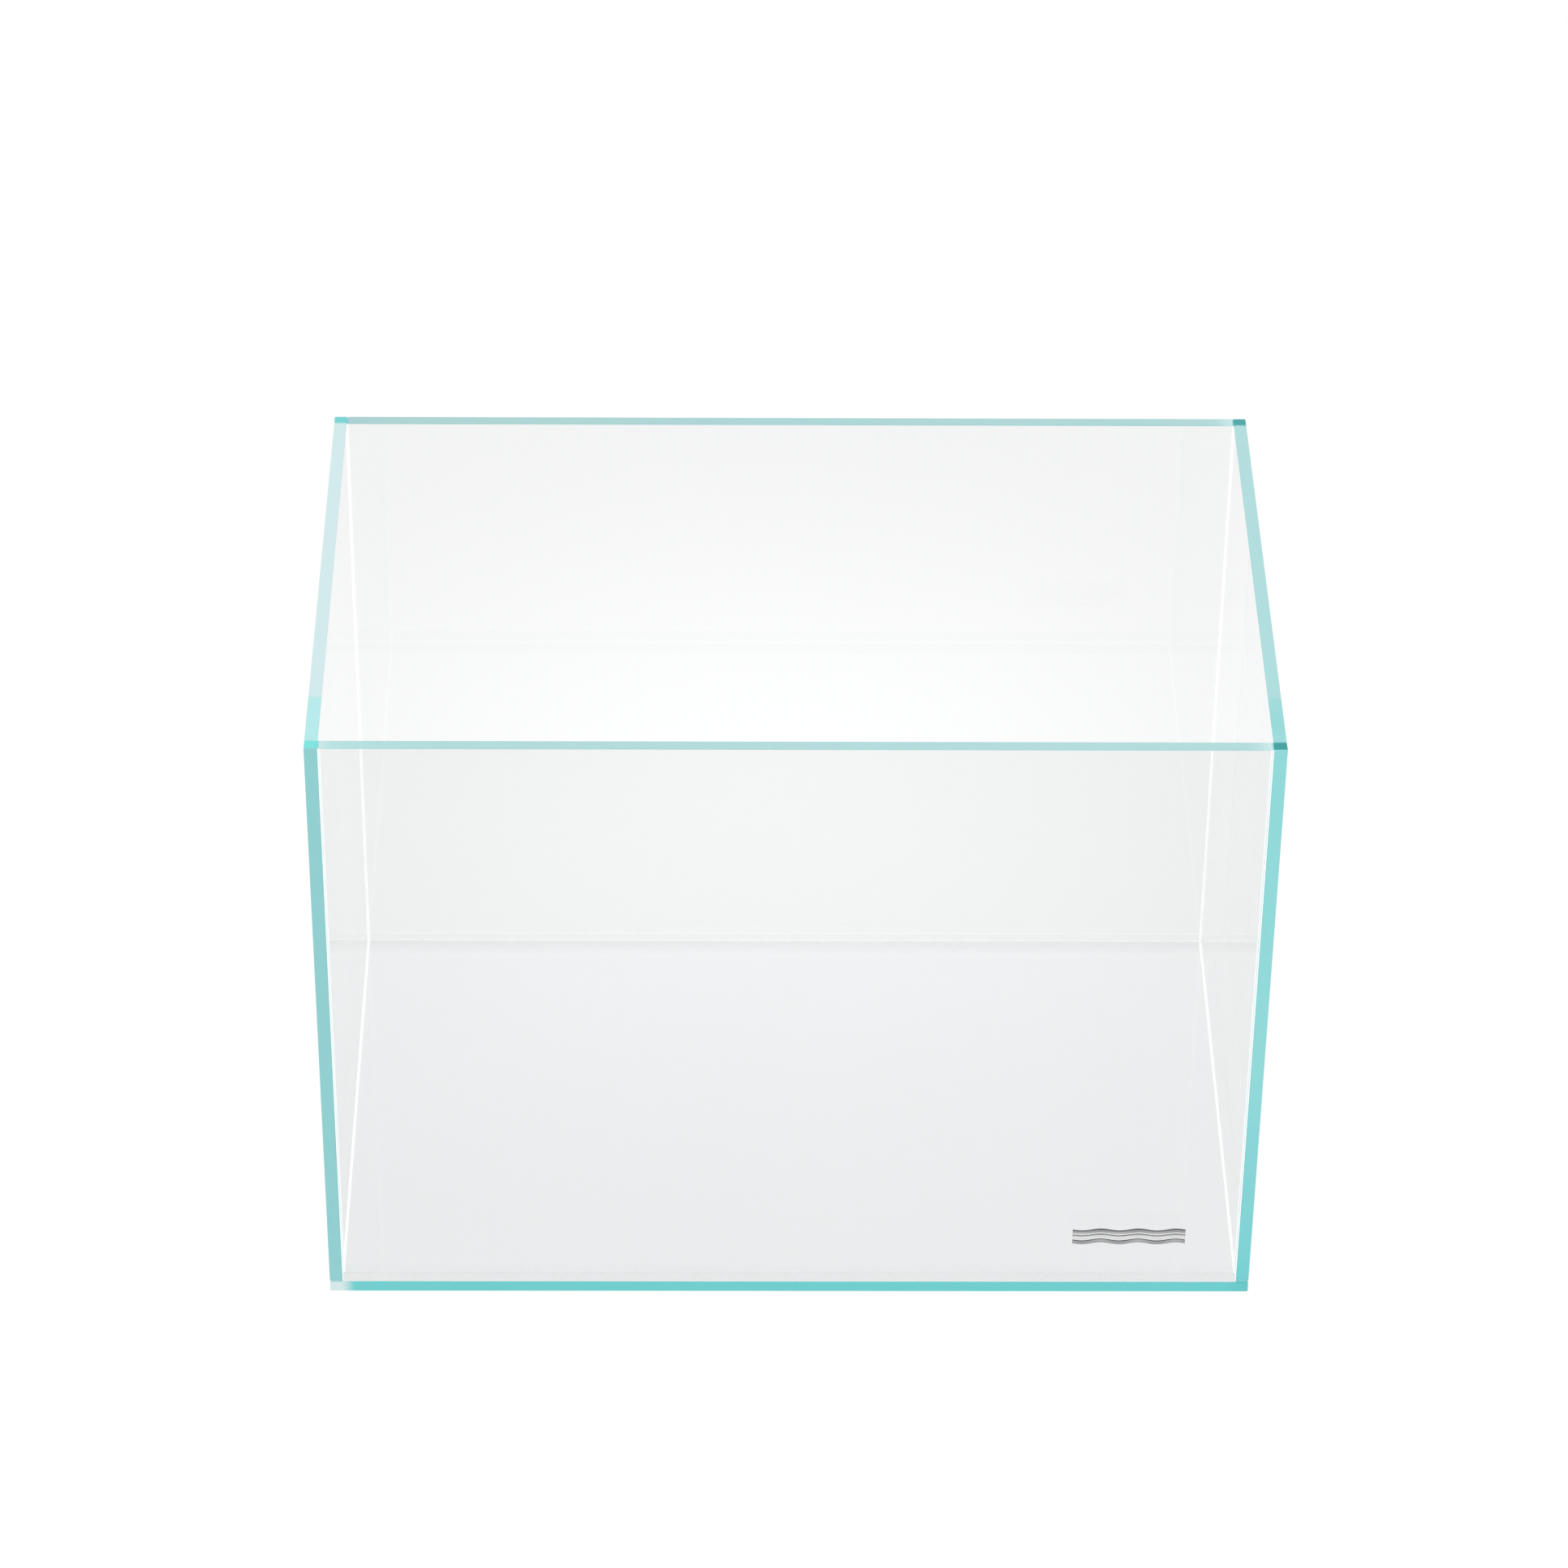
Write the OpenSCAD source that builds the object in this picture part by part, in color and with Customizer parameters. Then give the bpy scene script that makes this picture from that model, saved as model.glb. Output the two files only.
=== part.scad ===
// Rimless glass aquarium. A base pane carries four walls, and every joint is butted glass
// held by clear silicone: a thin structural seam between the panes, and a seal bead along
// each inside corner. The origin is the middle of the underside, with the front towards -Y.

/* [Tank] */
// Outside width, left to right
tank_w = 360; // [200:5:600]
// Outside depth, front to back
tank_d = 220; // [150:5:400]
// Outside height, from the underside of the base to the rim
tank_h = 265; // [150:5:400]

/* [Glass] */
// Thickness of every pane
glass_t = 5; // [4:0.5:8]
// Width of the polished bevel along every edge of a pane
arris = 0.3; // [0.2:0.1:0.8]

/* [Silicone] */
// Thickness of the structural seam between two panes
seam_t = 0.3; // [0.2:0.1:1]
// Leg of the seal bead along the inside corners
bead_leg = 0.5; // [0.5:0.1:4]

/* [Badge] */
// Length of the ripples on the badge
badge_w = 44; // [24:1:60]
// Height of the whole badge
badge_h = 8; // [7:0.5:14]
// Distance from the right side of the tank to the badge
badge_right = 26; // [15:1:60]
// Height of the badge's lower edge over the underside of the tank
badge_z = 25; // [15:1:60]

/* [Hidden] */

glass_colour = [0.80, 0.93, 0.92];
silicone_colour = [0.97, 0.98, 0.98];
chrome_colour = [0.72, 0.73, 0.74];
adhesive_colour = [0.90, 0.91, 0.91];

// Heights of the base's top face and of the foot of the walls
base_z = glass_t;
wall_z = base_z + seam_t;
wall_h = tank_h - wall_z;
// The front and back walls stand between the side walls, one seam short at each end
between_w = tank_w - 2 * glass_t - 2 * seam_t;
// Inside corner of the tank, from the middle
inner_x = tank_w / 2 - glass_t;
inner_y = tank_d / 2 - glass_t;
// Where the seams stop, just behind the bevels of the outside edges
seam_x = tank_w / 2 - arris;
seam_y = tank_d / 2 - arris;
seam_top = tank_h - arris;
// The bead's hollow face is part of a circle around a point this many legs from the corner
hollow = 1.5;
bead_facets = 96;
// A cut that has to pass right through a piece runs on by this much
past = 1;

// Badge: three ripples, one above the other, in metal on a film of adhesive
ripple_count = 3;
ripple_t = 0.35;
film_t = 0.1;
film_inset = 0.2;
ripple_stroke = 1.9;
ripple_rise = 0.5;
ripple_waves = 3;
ripple_steps = 48;
ripple_pitch = (badge_h - ripple_stroke - 2 * ripple_rise) / (ripple_count - 1);
badge_x = tank_w / 2 - badge_right - badge_w / 2;

// ---- Panes ----

// Rectangle around the origin with its corners cut off at 45 degrees
module bevelled(w, h) {
    x = w / 2;
    y = h / 2;
    polygon([[x - arris, -y], [x, arris - y], [x, y - arris], [x - arris, y],
             [arris - x, y], [-x, y - arris], [-x, arris - y], [arris - x, -y]]);
}

// Plate of glass standing on z = 0, bevelled along all twelve edges
module plate(w, d, h) {
    color(glass_colour)
    intersection() {
        linear_extrude(h) bevelled(w, d);
        translate([0, d / 2, h / 2]) rotate([90, 0, 0]) linear_extrude(d) bevelled(w, h);
        translate([-w / 2, 0, h / 2]) rotate([90, 0, 90]) linear_extrude(w) bevelled(d, h);
    }
}

module base_pane() {
    plate(tank_w, tank_d, glass_t);
}

// Wall on the left (-1) or the right (1), as deep as the base
module side_wall(side) {
    translate([side * (tank_w - glass_t) / 2, 0, wall_z]) plate(glass_t, tank_d, wall_h);
}

// Wall at the front (-1) or the back (1), between the side walls
module end_wall(end) {
    translate([0, end * (tank_d - glass_t) / 2, wall_z]) plate(between_w, glass_t, wall_h);
}

// ---- Structural seams ----

// Strip of silicone under a side wall, which also fills the bevel on its inside
module seam_under_side(side) {
    color(silicone_colour)
    difference() {
        translate([side > 0 ? inner_x : -seam_x, -seam_y, base_z])
            cube([seam_x - inner_x, 2 * seam_y, seam_t + arris]);
        side_wall(side);
    }
}

// Strip of silicone under the front or back wall, from side wall to side wall
module seam_under_end(end) {
    color(silicone_colour)
    difference() {
        translate([-inner_x, end > 0 ? inner_y : -seam_y, base_z])
            cube([2 * inner_x, seam_y - inner_y, seam_t + arris]);
        end_wall(end);
    }
}

// Upright strip of silicone between a side wall and the end of the front or back wall
module seam_upright(side, end) {
    color(silicone_colour)
    difference() {
        translate([side > 0 ? between_w / 2 - arris : -inner_x,
                   end > 0 ? inner_y : -seam_y, wall_z])
            cube([seam_t + arris, seam_y - inner_y, seam_top - wall_z]);
        end_wall(end);
        seam_under_end(end);
    }
}

// ---- Seal beads ----

// Hollow fillet of silicone in the corner between +X and +Y
module bead_profile() {
    difference() {
        square(bead_leg);
        translate([hollow * bead_leg, hollow * bead_leg])
            circle(r = bead_leg * sqrt(pow(hollow, 2) + pow(hollow - 1, 2)), $fn = bead_facets);
    }
}

// Bead along the foot of a wall, run long and cut to a mitre at both ends. The wall's inside
// face is the plane x = 0 and the run is centred on y = 0.
module bead_run(length) {
    half = length / 2;
    over = bead_leg + past;
    intersection() {
        translate([0, half + past, 0])
            rotate([90, 0, 0]) linear_extrude(length + 2 * past) bead_profile();
        translate([0, 0, -past]) linear_extrude(bead_leg + 2 * past)
            polygon([[-past, -half - past], [over, over - half],
                     [over, half - over], [-past, half + past]]);
    }
}

// Bead along the foot of a side wall
module bead_side(side) {
    color(silicone_colour)
    translate([side * inner_x, 0, base_z])
        rotate([0, 0, side > 0 ? 180 : 0]) bead_run(2 * inner_y);
}

// Bead along the foot of the front or back wall
module bead_end(end) {
    color(silicone_colour)
    translate([0, end * inner_y, base_z])
        rotate([0, 0, end > 0 ? -90 : 90]) bead_run(2 * inner_x);
}

// Upright bead in a corner, standing on the two beads that meet at its foot
module bead_upright(side, end) {
    color(silicone_colour)
    difference() {
        translate([side * inner_x, end * inner_y, base_z])
            mirror([side > 0 ? 1 : 0, 0, 0]) mirror([0, end > 0 ? 1 : 0, 0])
            linear_extrude(seam_top - base_z) bead_profile();
        bead_side(side);
        bead_end(end);
    }
}

// ---- Badge ----

// Height of the ripple's middle line at a distance along it
function ripple_y(x) = ripple_rise * sin(360 * ripple_waves * x / badge_w);

// Outline of one ripple with square ends, drawn in by an inset all round
module ripple(inset) {
    half = badge_w / 2 - inset;
    thick = ripple_stroke / 2 - inset;
    along = [for (i = [0 : ripple_steps]) half * (2 * i / ripple_steps - 1)];
    back = [for (i = [0 : ripple_steps]) along[ripple_steps - i]];
    polygon(concat([for (x = along) [x, ripple_y(x) - thick]],
                   [for (x = back) [x, ripple_y(x) + thick]]));
}

// All the ripples, from one distance in front of the front wall to another
module ripples(from, to, inset) {
    for (i = [0 : ripple_count - 1])
        translate([badge_x, -tank_d / 2 - from,
                   badge_z + ripple_stroke / 2 + ripple_rise + i * ripple_pitch])
            rotate([90, 0, 0]) linear_extrude(to - from) ripple(inset);
}

module badge_ripples() {
    color(chrome_colour) ripples(film_t, film_t + ripple_t, 0);
}

module badge_adhesive() {
    color(adhesive_colour) ripples(0, film_t, film_inset);
}

base_pane();
end_wall(-1);  // front_pane
end_wall(1);  // back_pane
side_wall(-1);  // left_pane
side_wall(1);  // right_pane
seam_under_end(-1);  // seam_bottom_front
seam_under_end(1);  // seam_bottom_back
seam_under_side(-1);  // seam_bottom_left
seam_under_side(1);  // seam_bottom_right
seam_upright(-1, -1);  // seam_corner_front_left
seam_upright(1, -1);  // seam_corner_front_right
seam_upright(-1, 1);  // seam_corner_back_left
seam_upright(1, 1);  // seam_corner_back_right
bead_end(-1);  // bead_bottom_front
bead_end(1);  // bead_bottom_back
bead_side(-1);  // bead_bottom_left
bead_side(1);  // bead_bottom_right
bead_upright(-1, -1);  // bead_corner_front_left
bead_upright(1, -1);  // bead_corner_front_right
bead_upright(-1, 1);  // bead_corner_back_left
bead_upright(1, 1);  // bead_corner_back_right
badge_ripples();
badge_adhesive();
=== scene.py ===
"""Looks of the rimless glass aquarium: clear panes, aqua edges, silicone joints and a chrome badge."""

import math

import bmesh
import bpy
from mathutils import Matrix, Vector, noise


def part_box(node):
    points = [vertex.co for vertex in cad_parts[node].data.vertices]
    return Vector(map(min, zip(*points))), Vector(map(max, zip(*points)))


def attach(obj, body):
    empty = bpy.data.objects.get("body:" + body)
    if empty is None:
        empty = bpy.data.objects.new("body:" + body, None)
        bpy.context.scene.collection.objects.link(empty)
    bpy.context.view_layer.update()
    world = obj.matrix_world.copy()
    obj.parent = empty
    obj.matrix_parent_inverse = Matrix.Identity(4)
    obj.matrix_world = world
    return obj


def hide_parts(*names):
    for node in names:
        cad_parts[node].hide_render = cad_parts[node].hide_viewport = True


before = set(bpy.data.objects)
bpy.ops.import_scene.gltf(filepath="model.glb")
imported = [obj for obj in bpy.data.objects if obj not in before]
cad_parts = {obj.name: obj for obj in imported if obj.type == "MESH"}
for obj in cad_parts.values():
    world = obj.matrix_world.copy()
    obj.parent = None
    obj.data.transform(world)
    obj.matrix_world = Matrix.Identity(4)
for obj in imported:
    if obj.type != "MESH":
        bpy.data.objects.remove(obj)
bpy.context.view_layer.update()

MM = 0.001
SEAMS = [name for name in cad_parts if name.startswith("seam_")]
# Inside corner of the tank in X and Y, the top of the base and the rim
INNER_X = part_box("right_pane")[0].x
INNER_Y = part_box("back_pane")[0].y
BASE_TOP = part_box("base_pane")[1].z
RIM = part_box("right_pane")[1].z

# ---- Node helpers ----


def new_material(name):
    """An empty material: its node tree and its output node."""
    mat = bpy.data.materials.new(name)
    mat.use_nodes = True
    mat.node_tree.nodes.clear()
    return mat, mat.node_tree, mat.node_tree.nodes.new("ShaderNodeOutputMaterial")


def linear(value):
    """A displayed level from 0 to 255 as linear light."""
    v = value / 255
    return v / 12.92 if v <= 0.04045 else ((v + 0.055) / 1.055) ** 2.4


def shade(levels, light=(1.0, 0.0)):
    """The colour that shows as these levels in a light, which has a strength and adds a gloss."""
    strength, gloss = light
    return tuple(min(max((linear(v) - gloss) / strength, 0.0), 1.0) for v in levels) + (1.0,)


def math_node(nt, operation, *values):
    """The result of a math node on sockets and numbers."""
    node = nt.nodes.new("ShaderNodeMath")
    node.operation = operation
    for socket, value in zip(node.inputs, values):
        if isinstance(value, (int, float)):
            socket.default_value = value
        else:
            nt.links.new(value, socket)
    return node.outputs[0]


def part_of(nt, vector, axis):
    """One coordinate of a vector."""
    split = nt.nodes.new("ShaderNodeSeparateXYZ")
    nt.links.new(vector, split.inputs[0])
    return split.outputs[axis]


def place(nt, axis=None):
    """Object coordinates, or one of them."""
    coords = nt.nodes.new("ShaderNodeTexCoord").outputs["Object"]
    return coords if axis is None else part_of(nt, coords, axis)


def map_range(nt, value, source=(0.0, 1.0), target=(0.0, 1.0), interpolation="LINEAR"):
    """A value carried over from one range to another, and held at its ends."""
    node = nt.nodes.new("ShaderNodeMapRange")
    node.interpolation_type = interpolation
    nt.links.new(value, node.inputs["Value"])
    node.inputs["From Min"].default_value, node.inputs["From Max"].default_value = source
    node.inputs["To Min"].default_value, node.inputs["To Max"].default_value = target
    return node.outputs["Result"]


def scaled(nt, colour, factor):
    """A colour, from a socket or a tuple, times a factor from a socket."""
    node = nt.nodes.new("ShaderNodeVectorMath")
    node.operation = "SCALE"
    nt.links.new(factor, node.inputs["Scale"])
    if isinstance(colour, tuple):
        node.inputs[0].default_value = colour[:3]
    else:
        nt.links.new(colour, node.inputs[0])
    return node.outputs[0]


def obliquely(nt):
    """0 where a surface is seen square on and 1 where it is seen edge on: one less the cosine."""
    node = nt.nodes.new("ShaderNodeLayerWeight")
    node.inputs["Blend"].default_value = 0.5
    return node.outputs["Facing"]


def mixed(nt, share, one, two):
    """Two shaders mixed by the second one's share, a number or a socket."""
    node = nt.nodes.new("ShaderNodeMixShader")
    if isinstance(share, float):
        node.inputs[0].default_value = share
    else:
        nt.links.new(share, node.inputs[0])
    nt.links.new(one.outputs[0], node.inputs[1])
    nt.links.new(two.outputs[0], node.inputs[2])
    return node


def ramp(nt, value, stops, light=(1.0, 0.0)):
    """Colours along a value in metres: stops are (millimetres, displayed levels)."""
    first, last = stops[0][0], stops[-1][0]
    node = nt.nodes.new("ShaderNodeValToRGB")
    nt.links.new(map_range(nt, value, (first * MM, last * MM)), node.inputs["Fac"])
    marks = node.color_ramp.elements
    while len(marks) < len(stops):
        marks.new(1.0)
    for mark, (at, levels) in zip(marks, stops):
        mark.position = (at - first) / (last - first)
        mark.color = shade(levels, light)
    return node.outputs["Color"]


def clouded(nt, colour, size, amount):
    """The colour, a little lighter and darker in soft clouds of a size in metres."""
    cloud = nt.nodes.new("ShaderNodeTexNoise")
    cloud.inputs["Scale"].default_value = 1 / size
    cloud.inputs["Detail"].default_value = 3
    nt.links.new(place(nt), cloud.inputs["Vector"])
    return scaled(nt, colour, map_range(nt, cloud.outputs["Fac"], target=(1 - amount, 1 + amount)))


def uneven(nt, size, depth, stretch=(1, 1, 1)):
    """A bump of soft waves of a size in metres and a depth in metres."""
    scale = nt.nodes.new("ShaderNodeMapping")
    scale.inputs["Scale"].default_value = stretch
    nt.links.new(place(nt), scale.inputs["Vector"])
    wave = nt.nodes.new("ShaderNodeTexNoise")
    wave.inputs["Scale"].default_value = 1 / size
    wave.inputs["Detail"].default_value = 2
    nt.links.new(scale.outputs[0], wave.inputs["Vector"])
    bump = nt.nodes.new("ShaderNodeBump")
    bump.inputs["Distance"].default_value = depth
    nt.links.new(wave.outputs["Fac"], bump.inputs["Height"])
    return bump.outputs["Normal"]


# ---- Glass ----

GLASS_IOR = 1.52
ARRIS = 0.3 * MM
# How many levels darker an edge's bevels are painted than the edge: painted shade
ARRIS_PAINTED_SHADE = 5
# Every pane is drawn in by this much, so that no face of it lies in the plane of its silicone
CLEARANCE = 0.02 * MM
# How strongly the studio lights a thing that faces sideways, up or halfway up, and the gloss it adds
SIDE_LIGHT = (1.0, 0.046)
TOP_LIGHT = (1.2, 0.05)
HALFWAY_LIGHT = (1.1, 0.048)
FACE_TINT = (0.9490, 0.9516, 0.9510)
INSIDE_TINT = (0.50, 0.82, 0.82)
BASE_TINT = (0.9510, 0.9540, 0.9590)
BONDED_TINT = (0.997, 0.998, 0.998)
# From inside the glass an edge turns from clear to aqua around the angle of total reflection
TOTAL_REFLECTION = (0.235, 0.29)
# Over this distance the base darkens towards the back wall in a painted shadow, down to this part of its
# tint
SHADOW_REACH = 9 * MM
SHADOW_TINT = 0.895
EDGE_ROUGHNESS = 0.3
# A face looks towards every side that its normal has more than this of, so a bevel looks towards two
NORMAL_LIMIT = 0.3


def face_glass(name, tint, shadow_from=None):
    """Clear, faintly tinted glass. It mirrors a little face on and more at a glancing angle.
    From the distance shadow_from towards the back it darkens in a painted shadow up to the wall that stands
    on it."""
    mat, nt, out = new_material(name)
    clear = nt.nodes.new("ShaderNodeBsdfTransparent")
    colour = clouded(nt, tint, 0.12, 0.004)
    if shadow_from is not None:
        # A painted shadow along the back wall
        painted_shadow_dim = map_range(nt, place(nt, 1), (shadow_from, INNER_Y), (1.0, SHADOW_TINT))
        colour = scaled(nt, colour, painted_shadow_dim)
    nt.links.new(colour, clear.inputs["Color"])
    mirror = nt.nodes.new("ShaderNodeBsdfGlossy")
    mirror.inputs["Color"].default_value = (1, 1, 1, 1)
    mirror.inputs["Roughness"].default_value = 0.0
    nt.links.new(uneven(nt, 0.15, 0.00002), mirror.inputs["Normal"])
    # Schlick's rule for the share that is mirrored
    face_on = ((GLASS_IOR - 1) / (GLASS_IOR + 1)) ** 2
    share = map_range(nt, math_node(nt, "POWER", obliquely(nt), 5), target=(face_on, 1.0))
    nt.links.new(mixed(nt, share, clear, mirror).outputs[0], out.inputs["Surface"])
    return mat


def bonded_glass():
    """Where a pane is wetted by silicone, nothing bends or reflects."""
    mat, nt, out = new_material("glass_bonded")
    clear = nt.nodes.new("ShaderNodeBsdfTransparent")
    nt.links.new(clouded(nt, BONDED_TINT, 0.02, 0.002), clear.inputs["Color"])
    nt.links.new(clear.outputs[0], out.inputs["Surface"])
    return mat


def edge_glass(name, axis, stops, light=SIDE_LIGHT, bevel_light=SIDE_LIGHT, inside=FACE_TINT,
               reflected=None):
    """The materials of an edge, its aqua with painted light and shade along it, and of its bevels, painted
    darker as shade.
    """
    # The bevels' colours, painted darker as shade
    darker = [(at, [level - ARRIS_PAINTED_SHADE for level in levels]) for at, levels in stops]
    return (satin_glass(name, axis, stops, light, inside, reflected),
            satin_glass(name + "_arris", axis, darker, bevel_light, inside))


def satin_glass(name, axis, stops, light, inside, reflected=None):
    """Satin polished glass, which shows its colour from outside, with painted light and shade along its
    length. From inside the glass only its tint shows, which turns to the tint reflected where the glass
    is seen too obliquely to look out of it."""
    mat, nt, out = new_material(name)
    p = nt.nodes.new("ShaderNodeBsdfPrincipled")
    colour = ramp(nt, place(nt, axis), stops, light)
    nt.links.new(clouded(nt, colour, 0.004, 0.02), p.inputs["Base Color"])
    nt.links.new(uneven(nt, 0.0006, 0.000004), p.inputs["Normal"])
    p.inputs["Roughness"].default_value = EDGE_ROUGHNESS
    p.inputs["IOR"].default_value = GLASS_IOR
    clear = nt.nodes.new("ShaderNodeBsdfTransparent")
    clear.inputs["Color"].default_value = (*inside, 1)
    if reflected is not None:
        tint = nt.nodes.new("ShaderNodeMix")
        tint.data_type = "RGBA"
        nt.links.new(map_range(nt, obliquely(nt), TOTAL_REFLECTION), tint.inputs[0])
        one, two = [socket for socket in tint.inputs if socket.type == "RGBA"]
        one.default_value = (*inside, 1)
        two.default_value = (*reflected, 1)
        result = [socket for socket in tint.outputs if socket.type == "RGBA"][0]
        nt.links.new(result, clear.inputs["Color"])
    from_inside = nt.nodes.new("ShaderNodeNewGeometry").outputs["Backfacing"]
    nt.links.new(mixed(nt, from_inside, p, clear).outputs[0], out.inputs["Surface"])
    return mat


def bevelled_box(lo, hi, bevel):
    """A box with a 45 degree bevel along every edge, as 24 corners, 6 sides, 12 bevels and 8 tips."""
    bm = bmesh.new()
    corner = {}
    signs = [(x, y, z) for x in (-1, 1) for y in (-1, 1) for z in (-1, 1)]
    for s in signs:
        for axis in range(3):
            p = [hi[i] if s[i] > 0 else lo[i] for i in range(3)]
            for i in range(3):
                p[i] -= s[i] * bevel * (i != axis)
            corner[s, axis] = bm.verts.new(p)

    def vert(axis, side, a, u, b, v, owner):
        s = [0, 0, 0]
        s[axis], s[a], s[b] = side, u, v
        return corner[tuple(s), owner]

    for axis in range(3):
        a, b = [i for i in range(3) if i != axis]
        for side in (-1, 1):
            around = ((-1, -1), (1, -1), (1, 1), (-1, 1))
            bm.faces.new([vert(axis, side, a, u, b, v, axis) for u, v in around])
        for u in (-1, 1):
            for v in (-1, 1):
                ends = [(-1, a), (1, a), (1, b), (-1, b)]
                bm.faces.new([vert(axis, w, a, u, b, v, owner) for w, owner in ends])
    for s in signs:
        bm.faces.new([corner[s, i] for i in range(3)])
    return bm


def cut_at_joints(bm, lo, hi):
    """Split the faces along the planes of the tank's inside corners."""
    for axis, at in ((0, -INNER_X), (0, INNER_X), (1, -INNER_Y), (1, INNER_Y)):
        if lo[axis] + 2 * ARRIS < at < hi[axis] - 2 * ARRIS:
            co, no = [0, 0, 0], [0, 0, 0]
            co[axis], no[axis] = at, 1
            geom = bm.verts[:] + bm.edges[:] + bm.faces[:]
            bmesh.ops.bisect_plane(bm, geom=geom, plane_co=co, plane_no=no, dist=1e-7)


def mesh_object(bm, name, materials):
    """The finished mesh as an object with these materials in its slots."""
    mesh = bpy.data.meshes.new(name)
    bm.to_mesh(mesh)
    bm.free()
    for mat in materials:
        mesh.materials.append(mat)
    ob = bpy.data.objects.new(name, mesh)
    bpy.context.collection.objects.link(ob)
    return ob


def against_silicone(point):
    """True if a seam covers this point of a pane's surface."""
    near = 3 * CLEARANCE
    for name in SEAMS:
        lo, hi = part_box(name)
        if all(lo[i] - near < point[i] < hi[i] + near for i in range(3)):
            return True
    return False


def pane(node, edges):
    """A pane in the place of a CAD node. edges gives the materials of some of its sides and of their
    bevels; a bevel between two such sides goes with the first."""
    lo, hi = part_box(node)
    inset = Vector((CLEARANCE,) * 3)
    bm = bevelled_box(lo + inset, hi - inset, ARRIS)
    cut_at_joints(bm, lo, hi)
    bmesh.ops.recalc_face_normals(bm, faces=bm.faces)
    slots = [FACE, BONDED]
    for pair in edges.values():
        slots += [mat for mat in pair if mat not in slots]
    for f in bm.faces:
        facing = [("-" if n < 0 else "+") + "xyz"[i] for i, n in enumerate(f.normal)
                  if abs(n) > NORMAL_LIMIT]
        near = [side for side in edges if side in facing]
        end = len(facing) == 1 and near and near[0][1] == "x"
        if against_silicone(f.calc_center_median()) and not end:
            f.material_index = slots.index(BONDED)
        elif near:
            f.material_index = slots.index(edges[near[0]][len(facing) > 1])
    ob = mesh_object(bm, node + "_glass", slots)
    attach(ob, "root")
    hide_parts(node)


FACE = face_glass("glass_face", FACE_TINT)
BASE_UNDER = face_glass("glass_base_under", BASE_TINT)
BASE_UPPER = face_glass("glass_base_upper", BASE_TINT, INNER_Y - SHADOW_REACH)
BONDED = bonded_glass()

# Each edge's aqua is the glass's own colour. The lighter and darker stretches along the edges, their pale
# and dark ends and the dark corner squares on the side walls' tops are painted light and shade.
LEFT_FRONT = edge_glass("edge_left_front", 2, [(5, (147, 208, 209)), (265, (147, 208, 209))],
                        inside=INSIDE_TINT)
RIGHT_FRONT = edge_glass("edge_right_front", 2, [
    (5, (120, 207, 210)), (20, (127, 211, 213)), (70, (138, 213, 216)), (110, (147, 218, 219)),
    (265, (147, 218, 219))], inside=INSIDE_TINT)
LEFT_TOP = edge_glass("edge_left_top", 1, [
    (-110, (124, 230, 224)), (-105.2, (124, 230, 224)), (-104.8, (183, 236, 236)), (-79, (183, 236, 236)),
    (-77, (212, 236, 238)), (104.8, (212, 236, 238)), (105.2, (121, 212, 213)),
    (110, (121, 212, 213))], TOP_LIGHT, HALFWAY_LIGHT)
RIGHT_TOP = edge_glass("edge_right_top", 1, [
    (-110, (50, 161, 161)), (-105.2, (50, 161, 161)), (-104.8, (160, 222, 224)), (-95, (150, 219, 218)),
    (-79, (160, 221, 220)), (-77, (175, 223, 223)), (104.8, (179, 222, 223)), (105.2, (70, 168, 168)),
    (110, (70, 168, 168))], TOP_LIGHT, HALFWAY_LIGHT)
FRONT_TOP = edge_glass("edge_front_top", 0, [
    (-175, (206, 233, 236)), (-170, (184, 227, 226)), (-155, (179, 224, 223)), (-130, (179, 220, 220)),
    (165, (180, 221, 221)), (170, (190, 226, 228)), (175, (212, 240, 241))], TOP_LIGHT, HALFWAY_LIGHT)
BACK_TOP = edge_glass("edge_back_top", 0, [
    (-175, (170, 207, 209)), (-160, (173, 212, 211)), (0, (174, 215, 216)), (150, (176, 217, 215)),
    (168, (179, 220, 218)), (175, (207, 237, 239))], TOP_LIGHT, HALFWAY_LIGHT)
BASE_FRONT = edge_glass("edge_base_front", 0, [
    (-180, (215, 234, 234)), (-175, (215, 234, 234)), (-170.5, (115, 207, 207)), (172, (112, 207, 207)),
    (175, (107, 201, 202)), (180, (107, 201, 202))], inside=INSIDE_TINT)
BASE_SIDE = edge_glass("edge_base_side", 1, [(-110, (113, 206, 207)), (110, (113, 206, 207))])
BACK_UPRIGHT = edge_glass("edge_back_upright", 2, [(5, (135, 208, 210)), (265, (147, 213, 214))],
                          reflected=INSIDE_TINT)
# The ends of the front and back walls, which show through the side walls, lighter towards the top as
# painted light
WALL_END_STOPS = [(5, (138, 208, 210)), (265, (152, 214, 215))]
WALL_END = (satin_glass("edge_wall_end", 2, WALL_END_STOPS, SIDE_LIGHT, FACE_TINT), FACE)

pane("base_pane", {"-y": BASE_FRONT, "+z": (BASE_UPPER, FACE), "-z": (BASE_UNDER, FACE),
                   "-x": BASE_SIDE, "+x": BASE_SIDE, "+y": BASE_SIDE})
pane("left_pane", {"-y": LEFT_FRONT, "+y": BACK_UPRIGHT, "+z": LEFT_TOP})
pane("right_pane", {"-y": RIGHT_FRONT, "+y": BACK_UPRIGHT, "+z": RIGHT_TOP})
pane("front_pane", {"+z": FRONT_TOP, "-x": WALL_END, "+x": WALL_END})
pane("back_pane", {"+z": BACK_TOP, "-x": WALL_END, "+x": WALL_END})

# ---- Silicone ----

LEG = INNER_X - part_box("bead_bottom_right")[0].x
# The hollow face is part of a circle around a point this many legs from the corner
HOLLOW = 1.5
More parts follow.
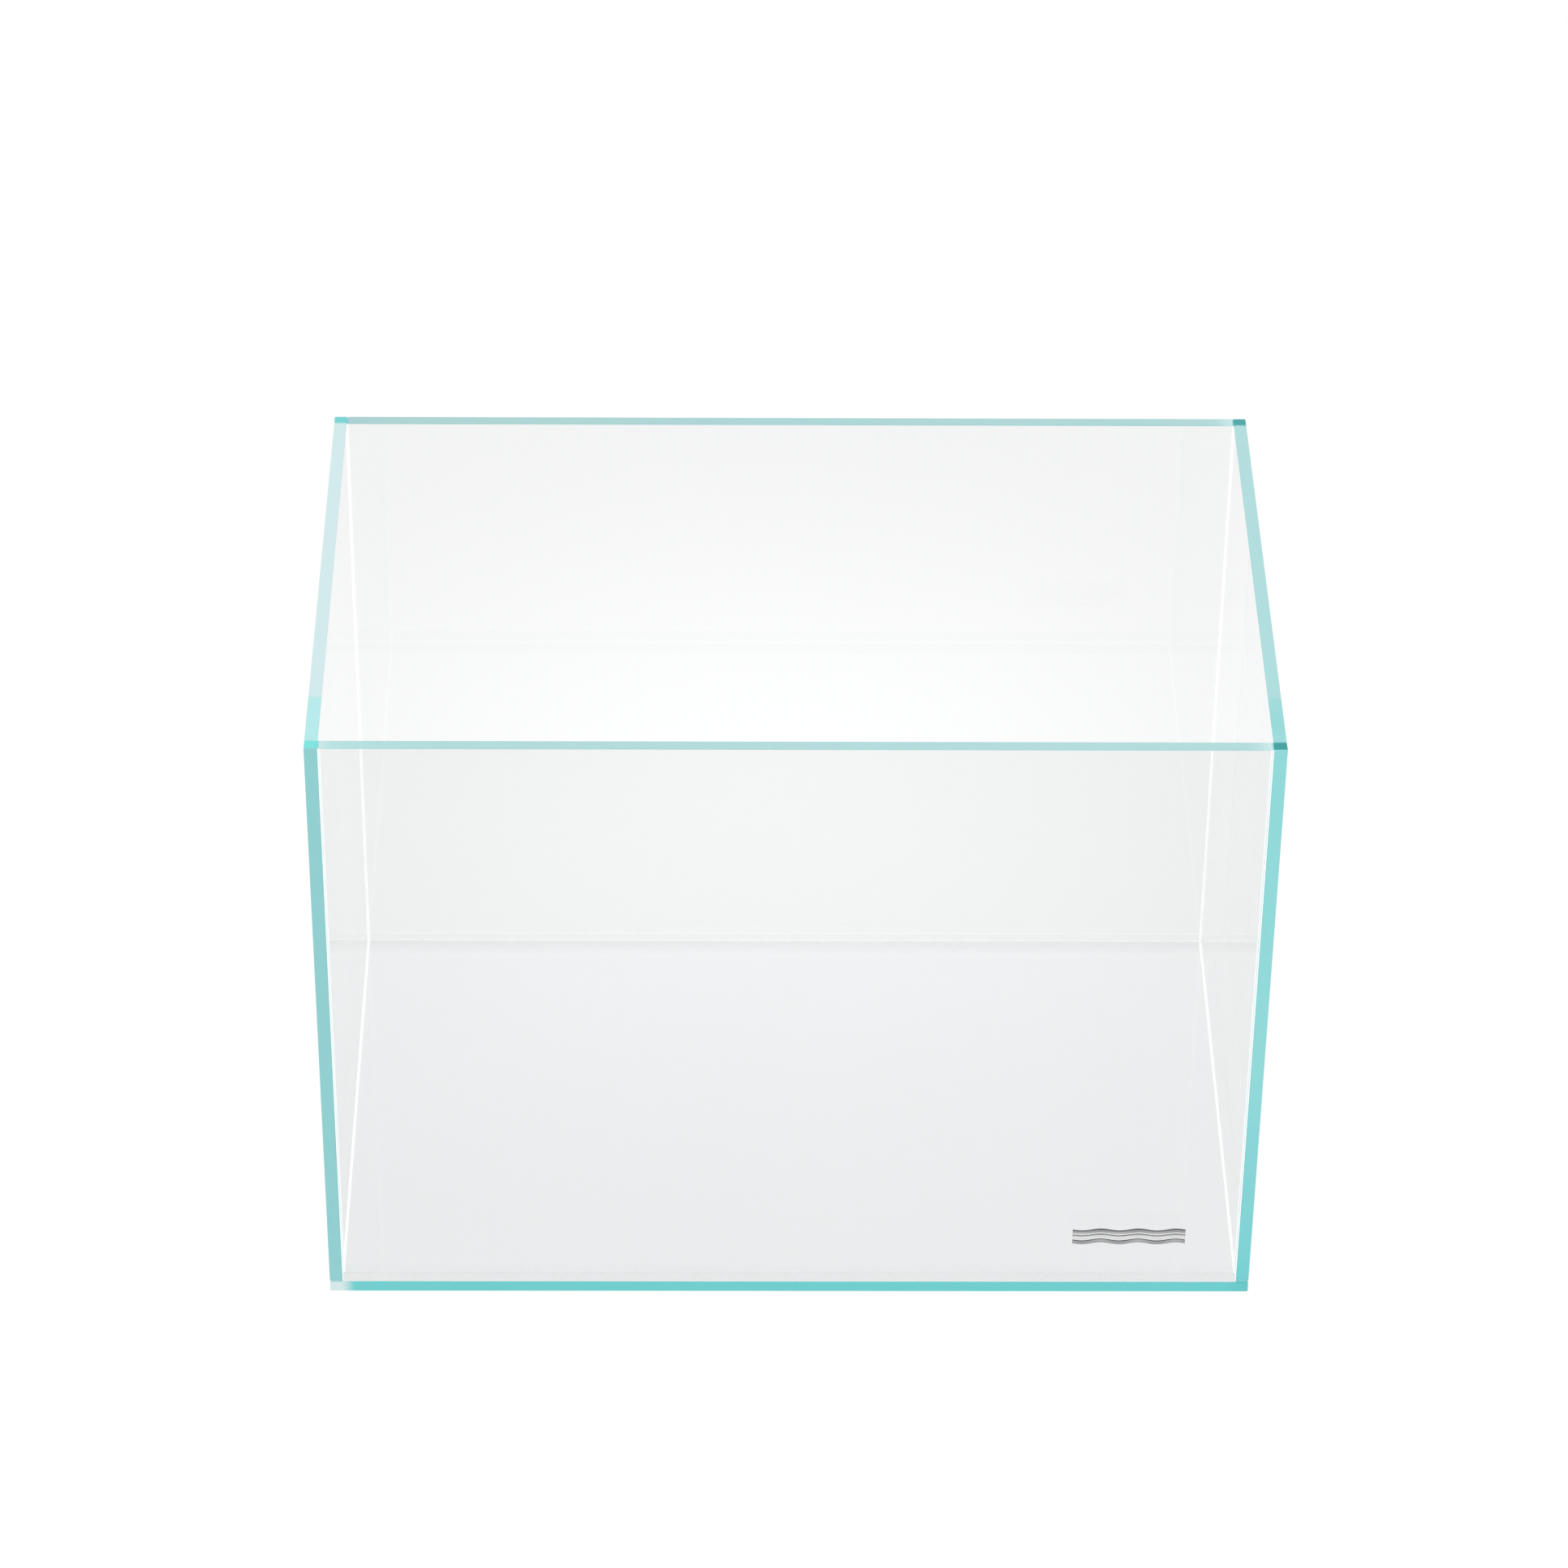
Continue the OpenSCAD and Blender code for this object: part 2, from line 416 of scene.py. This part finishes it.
# Steps along the hollow face, and the distance between two sections of a run
PROFILE_STEPS = 8
RING_STEP = 2.5 * MM
SILICONE = (0.97, 0.975, 0.975)
SILICONE_IOR = 1.41
# Painted light: the silicone's glow, which stands in for light that it scatters out of the glass around it
SILICONE_PAINTED_GLOW = 0.2
SILICONE_CLEAR = (0.985, 0.99, 0.99, 1)
BEAD_ROUGHNESS = 0.3
SEAM_ROUGHNESS = 0.4
# Displayed colour of a seam where it comes out between two edges
SEAM_TIP = (134, 205, 205)
# The bead's leg varies by this share, less so over the first stretch from a joint
TOOLED = 0.05
STEADY = 10 * MM
# How much the variation changes from bead to bead and along a bead, per metre
SPREAD = 40
RATE = 60
# Into a joint the leg grows by this share, which falls off over this distance
SWELL = 0.3
SWELL_REACH = 2 * MM


def milky_silicone(nt, roughness):
    """The white share of silicone, with a painted glow for the light that it scatters."""
    p = nt.nodes.new("ShaderNodeBsdfPrincipled")
    nt.links.new(clouded(nt, SILICONE, 0.01, 0.02), p.inputs["Base Color"])
    p.inputs["Roughness"].default_value = roughness
    p.inputs["IOR"].default_value = SILICONE_IOR
    p.inputs["Emission Color"].default_value = (1, 1, 1, 1)
    p.inputs["Emission Strength"].default_value = SILICONE_PAINTED_GLOW
    return p


def bead_silicone(name, haze):
    """Silicone of a milky haze from 0, clear, to 1, white."""
    mat, nt, out = new_material(name)
    milk = milky_silicone(nt, BEAD_ROUGHNESS)
    nt.links.new(uneven(nt, 0.004, 0.00001), milk.inputs["Normal"])
    clear = nt.nodes.new("ShaderNodeBsdfTransparent")
    clear.inputs["Color"].default_value = SILICONE_CLEAR
    nt.links.new(mixed(nt, haze, clear, milk).outputs[0], out.inputs["Surface"])
    return mat


def seam_silicone(name, tint, haze, axis, end):
    """Silicone between two panes, tinted, and on its front and back milky by a haze from 0 to 1. Where
    it comes out at the end of a joint, beyond a distance end along an axis, it shows the edges there."""
    mat, nt, out = new_material(name)
    clear = nt.nodes.new("ShaderNodeBsdfTransparent")
    nt.links.new(clouded(nt, tint, 0.01, 0.004), clear.inputs["Color"])
    surface = nt.nodes.new("ShaderNodeNewGeometry")
    frontal = math_node(nt, "ABSOLUTE", part_of(nt, surface.outputs["Normal"], 1))
    milk = milky_silicone(nt, SEAM_ROUGHNESS)
    milky = mixed(nt, math_node(nt, "MULTIPLY", frontal, haze), clear, milk)
    tip = nt.nodes.new("ShaderNodeBsdfDiffuse")
    nt.links.new(clouded(nt, shade(SEAM_TIP, SIDE_LIGHT), 0.004, 0.02), tip.inputs["Color"])
    beyond = math_node(nt, "GREATER_THAN", math_node(nt, "ABSOLUTE", place(nt, axis)), end)
    squarely = math_node(nt, "ABSOLUTE", part_of(nt, surface.outputs["Normal"], axis))
    outside = math_node(nt, "SUBTRACT", 1.0, surface.outputs["Backfacing"])
    at_tip = math_node(nt, "MULTIPLY", math_node(nt, "MULTIPLY", beyond, squarely), outside)
    nt.links.new(mixed(nt, at_tip, milky, tip).outputs[0], out.inputs["Surface"])
    return mat


def bead_outline():
    """Points of the bead's section in legs: the corner first, then along its hollow face."""
    radius = math.hypot(HOLLOW, HOLLOW - 1)
    first = math.atan2(-HOLLOW, 1 - HOLLOW)
    last = math.atan2(1 - HOLLOW, -HOLLOW) - 2 * math.pi
    if last < first - math.pi:
        last += 2 * math.pi
    points = [(0.0, 0.0)]
    for i in range(PROFILE_STEPS + 1):
        a = first + (last - first) * i / PROFILE_STEPS
        points.append((HOLLOW + radius * math.cos(a), HOLLOW + radius * math.sin(a)))
    return points


def bead(node, start, along, out_u, out_v, length, trims, mat):
    """A bead run along a corner. It starts at the corner point start and spreads towards out_u and out_v.
    trims says whether each end is drawn in by the distance from the wall ("mitre"), by the height of the
    beads it stands on ("foot") or not at all (None)."""
    rings = max(2, round(length / RING_STEP))
    bm = bmesh.new()
    loops = []
    for i in range(rings + 1):
        t = i / rings
        s = t * length
        near = min(s if trims[0] else length, length - s if trims[1] else length)
        tooled = noise.noise(Vector(start) * SPREAD + Vector(along) * s * RATE)
        wander = TOOLED * tooled * min(near / STEADY, 1)
        leg = LEG * (1 + wander + SWELL * math.exp(-near / SWELL_REACH))
        ring = []
        for u, v in bead_outline():
            trim = {"mitre": u * leg, "foot": max(u, v) * leg, None: 0.0}
            a, b = trim[trims[0]], trim[trims[1]]
            at = a + t * (length - a - b)
            ring.append(bm.verts.new(Vector(start) + along * at + out_u * u * leg + out_v * v * leg))
        loops.append(ring)
    n = len(loops[0])
    for one, two in zip(loops, loops[1:]):
        for k in range(n):
            bm.faces.new([one[k], one[(k + 1) % n], two[(k + 1) % n], two[k]]).smooth = 0 < k < n - 1
    for ring in (loops[0], loops[-1]):
        for k in range(1, n - 1):
            bm.faces.new([ring[0], ring[k], ring[k + 1]])
    bmesh.ops.recalc_face_normals(bm, faces=bm.faces)
    ob = mesh_object(bm, node + "_run", [mat])
    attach(ob, "root")
    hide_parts(node)


# Seen from outside, a seam's tip begins at these distances along X, Y and Z
SIDE_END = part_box("base_pane")[1].x - 2 * ARRIS
FRONT_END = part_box("base_pane")[1].y - 2 * ARRIS
TOP_END = RIM - 2 * ARRIS
# The seam under the front wall is tinted darker than the others: painted shade
FRONT_SEAM_SHADE_TINT = (0.938, 0.939, 0.940)
# The beads stay clear of the panes by this much
BEAD_GAP = 0.03 * MM

# One silicone throughout: the beads are near white at the back corners and along the side feet, the front
# corner seams milky, and the rest near clear. This whiteness by place is painted light.
WHITE_BEAD = bead_silicone("silicone_bead_white", 0.9)
CLEAR_BEAD = bead_silicone("silicone_bead_clear", 0.1)
MILKY_SEAM = seam_silicone("silicone_seam_milky", BONDED_TINT, 0.75, 2, TOP_END)
CLEAR_SEAM = seam_silicone("silicone_seam_clear", BONDED_TINT, 0.0, 2, TOP_END)
SIDE_SEAM = seam_silicone("silicone_seam_side", BONDED_TINT, 0.0, 1, FRONT_END)
BACK_SEAM = seam_silicone("silicone_seam_back", BONDED_TINT, 0.0, 0, SIDE_END)
FRONT_SEAM = seam_silicone("silicone_seam_front", FRONT_SEAM_SHADE_TINT, 0.0, 0, SIDE_END)
X, Y, Z = Vector((1, 0, 0)), Vector((0, 1, 0)), Vector((0, 0, 1))
bead_x, bead_y, bead_z = INNER_X - BEAD_GAP, INNER_Y - BEAD_GAP, BASE_TOP + BEAD_GAP
for side, name in ((-1, "left"), (1, "right")):
    bead("bead_bottom_" + name, (side * bead_x, -bead_y, bead_z), Y, -side * X, Z, 2 * bead_y,
         ("mitre", "mitre"), WHITE_BEAD)
for end, name in ((-1, "front"), (1, "back")):
    bead("bead_bottom_" + name, (-bead_x, end * bead_y, bead_z), X, -end * Y, Z, 2 * bead_x,
         ("mitre", "mitre"), CLEAR_BEAD)
    for side, hand in ((-1, "left"), (1, "right")):
        bead("bead_corner_" + name + "_" + hand, (side * bead_x, end * bead_y, bead_z), Z,
             -side * X, -end * Y, RIM - ARRIS - bead_z, ("foot", None),
             WHITE_BEAD if end > 0 else CLEAR_BEAD)

SEAM_MATERIALS = {
    "seam_bottom_front": FRONT_SEAM, "seam_bottom_back": BACK_SEAM,
    "seam_bottom_left": SIDE_SEAM, "seam_bottom_right": SIDE_SEAM,
    "seam_corner_front_left": MILKY_SEAM, "seam_corner_front_right": MILKY_SEAM,
    "seam_corner_back_left": CLEAR_SEAM, "seam_corner_back_right": CLEAR_SEAM}
for name, mat in SEAM_MATERIALS.items():
    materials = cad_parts[name].data.materials
    materials.clear()
    materials.append(mat)

# ---- Badge ----


def badge_chrome(name, strength):
    """Bright metal with a painted reflection over the badge's height, grey to white and back, and a painted
    shade that makes it as many times darker as strength says."""
    mat, nt, out = new_material(name)
    p = nt.nodes.new("ShaderNodeBsdfPrincipled")
    low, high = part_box("badge_ripples")[0].z / MM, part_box("badge_ripples")[1].z / MM
    tall = high - low
    # A painted reflection: grey, white in the middle, grey
    chrome_reflection_greys = [(0, (150, 150, 152)), (0.25, (168, 168, 170)), (0.42, (226, 226, 227)),
             (0.6, (212, 212, 213)), (0.8, (166, 166, 168)), (1, (140, 140, 142))]
    stops = [(low + part * tall, levels) for part, levels in chrome_reflection_greys]
    colour = ramp(nt, place(nt, 2), stops, (strength, 0.0))
    nt.links.new(clouded(nt, colour, 0.002, 0.03), p.inputs["Base Color"])
    nt.links.new(uneven(nt, 0.0004, 0.000004, (0.15, 1, 1)), p.inputs["Normal"])
    p.inputs["Metallic"].default_value = 1.0
    p.inputs["Roughness"].default_value = 0.18
    nt.links.new(p.outputs[0], out.inputs["Surface"])
    return mat


def adhesive_film():
    """The pale film under the ripples."""
    mat, nt, out = new_material("badge_film")
    p = nt.nodes.new("ShaderNodeBsdfPrincipled")
    nt.links.new(clouded(nt, (0.93, 0.94, 0.94), 0.002, 0.03), p.inputs["Base Color"])
    p.inputs["Roughness"].default_value = 0.5
    nt.links.new(p.outputs[0], out.inputs["Surface"])
    return mat


RIPPLES = 3
WAVES = 3
STROKE = 1.9 * MM
RISE = 0.5 * MM
RIPPLE_STEPS = 120
CHAMFER = 0.22 * MM
# How far the face falls off from its crown, halfway to its edge and at its edge
CROWN_HALFWAY = 0.015 * MM
CROWN_EDGE = 0.06 * MM
# A ripple's upper chamfer and upper side are painted this many times darker than its face, as shade
CHROME_PAINTED_SHADE = 8.0


def ripple(bm, lo, hi, middle):
    """One wavy bar between the box's ends around the height middle, with a chamfered and crowned face."""
    half, deep = STROKE / 2, hi.y - lo.y
    # Height over the bar's middle line and distance out from the film
    section = [(-half, 0), (-half, deep - CHAMFER), (-half + CHAMFER, deep - CROWN_EDGE),
               (-half / 2, deep - CROWN_HALFWAY), (0, deep), (half / 2, deep - CROWN_HALFWAY),
               (half - CHAMFER, deep - CROWN_EDGE), (half, deep - CHAMFER), (half, 0)]
    width = hi.x - lo.x
    ends = [0, CHAMFER]
    ends += [CHAMFER + (width - 2 * CHAMFER) * i / RIPPLE_STEPS for i in range(1, RIPPLE_STEPS)]
    ends += [width - CHAMFER, width]
    loops = []
    for x in ends:
        tip = x in (0, width)
        wave = RISE * math.sin(2 * math.pi * WAVES * (x / width - 0.5))
        ring = []
        for up, out in section:
            out = min(out, deep - CHAMFER) if tip else out
            ring.append(bm.verts.new((lo.x + x, hi.y - out, middle + wave + up)))
        loops.append(ring)
    n = len(section)
    for one, two in zip(loops, loops[1:]):
        for k in range(n):
            f = bm.faces.new([one[k], one[(k + 1) % n], two[(k + 1) % n], two[k]])
            f.smooth = 2 <= k <= n - 4
            # The upper chamfer and upper side take the painted shade
            f.material_index = 1 if k in (n - 3, n - 2) else 0
    for ring in (loops[0], loops[-1]):
        bm.faces.new(ring)


def badge():
    """The three metal ripples, and the film under them."""
    lo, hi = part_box("badge_ripples")
    bm = bmesh.new()
    pitch = (hi.z - lo.z - STROKE - 2 * RISE) / (RIPPLES - 1)
    for i in range(RIPPLES):
        ripple(bm, lo, hi, lo.z + STROKE / 2 + RISE + i * pitch)
    bmesh.ops.recalc_face_normals(bm, faces=bm.faces)
    # The second metal is the first with painted shade
    metals = [badge_chrome("badge_chrome", 1.0), badge_chrome("badge_chrome_painted_shade", CHROME_PAINTED_SHADE)]
    ob = mesh_object(bm, "badge_ripples_metal", metals)
    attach(ob, "root")
    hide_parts("badge_ripples")
    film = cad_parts["badge_adhesive"].data.materials
    film.clear()
    film.append(adhesive_film())


badge()

# ---- Stage ----

FLOOR_DROP = 0.2 * MM
FLOOR_SIZE = 60
# The floor's strength all over and in the middle of a soft round painted pool of light
FLOOR_WHITE = (1.003, 1.128)
LIGHT_POOL_CENTRE = (-0.004, 0.21, 0)
LIGHT_POOL_RADIUS = 0.33
# The studio's light, and the heights on the unit sphere between which it grows
STUDIO_LIGHT = (1.0, 1.6)
STUDIO_RISE = (0.6, 0.95)
LENS = 135.82
CAMERA_PLACE = (-0.03036, -1.84613, 1.55350)
CAMERA_TURN = (53.0833, -0.5006, -0.4837)
BOUNCES = 128
DIFFUSE_BOUNCES = 32


def floor():
    """A white floor that lights the tank from below, with a soft round painted pool of light."""
    mat, nt, out = new_material("floor")
    centre = nt.nodes.new("ShaderNodeMapping")
    centre.vector_type = "TEXTURE"
    centre.inputs["Location"].default_value = LIGHT_POOL_CENTRE
    centre.inputs["Scale"].default_value = (LIGHT_POOL_RADIUS, LIGHT_POOL_RADIUS, 1)
    nt.links.new(place(nt), centre.inputs["Vector"])
    # A painted pool of light, brightest in its middle
    painted_light_pool = nt.nodes.new("ShaderNodeTexGradient")
    painted_light_pool.gradient_type = "SPHERICAL"
    nt.links.new(centre.outputs[0], painted_light_pool.inputs["Vector"])
    glow = map_range(nt, painted_light_pool.outputs["Fac"], target=FLOOR_WHITE, interpolation="SMOOTHSTEP")
    shine = nt.nodes.new("ShaderNodeEmission")
    nt.links.new(glow, shine.inputs["Strength"])
    nt.links.new(shine.outputs[0], out.inputs["Surface"])
    bpy.ops.mesh.primitive_plane_add(size=FLOOR_SIZE, location=(0, 0, -FLOOR_DROP))
    ob = bpy.context.object
    ob.name = "floor"
    ob.data.materials.append(mat)


def studio():
    """White light from all around, brighter overhead."""
    world = bpy.data.worlds.new("studio")
    bpy.context.scene.world = world
    world.use_nodes = True
    nt = world.node_tree
    back = nt.nodes["Background"]
    dot = nt.nodes.new("ShaderNodeVectorMath")
    dot.operation = "DOT_PRODUCT"
    dot.inputs[1].default_value = (0, 0, 1)
    nt.links.new(nt.nodes.new("ShaderNodeTexCoord").outputs["Generated"], dot.inputs[0])
    strength = map_range(nt, dot.outputs["Value"], STUDIO_RISE, STUDIO_LIGHT, "SMOOTHSTEP")
    nt.links.new(strength, back.inputs["Strength"])
    back.inputs["Color"].default_value = (1, 1, 1, 1)


def camera():
    """A long lens, from the front and above."""
    data = bpy.data.cameras.new("camera")
    data.sensor_width = 36
    data.lens = LENS
    ob = bpy.data.objects.new("camera", data)
    bpy.context.collection.objects.link(ob)
    ob.location = CAMERA_PLACE
    ob.rotation_euler = [math.radians(angle) for angle in CAMERA_TURN]
    bpy.context.scene.camera = ob


floor()
studio()
camera()
scene = bpy.context.scene
scene.view_settings.view_transform = "Standard"
scene.cycles.max_bounces = BOUNCES
scene.cycles.diffuse_bounces = DIFFUSE_BOUNCES
scene.cycles.transmission_bounces = BOUNCES
scene.cycles.glossy_bounces = BOUNCES
scene.cycles.transparent_max_bounces = BOUNCES
